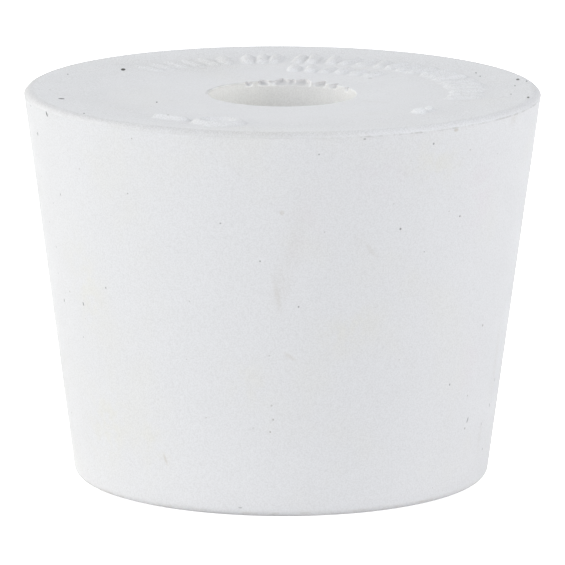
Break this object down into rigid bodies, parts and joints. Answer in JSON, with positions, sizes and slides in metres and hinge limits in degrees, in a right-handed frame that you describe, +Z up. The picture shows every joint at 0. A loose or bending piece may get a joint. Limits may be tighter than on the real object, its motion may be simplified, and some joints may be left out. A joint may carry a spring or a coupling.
{
  "type": "rubber stopper",
  "caption": "Tapered white rubber stopper with a straight hole through it, for closing the neck of a flask or tube around a glass tube or thermometer.",
  "frame": {"origin": "centre of the bottom face, the narrow end, on the axis of the bore", "axes": "+Z up the axis of the bore, towards the wide end; +X and +Y across, with the row of raised bars at the +Y side"},
  "size_m": [0.0336, 0.0336, 0.0257],
  "materials": {
    "white_rubber": "matt white moulded rubber with fine grain and small dark specks"
  },
  "bodies": {
    "root": {"stopper": "white_rubber"}
  },
  "joints": []
}
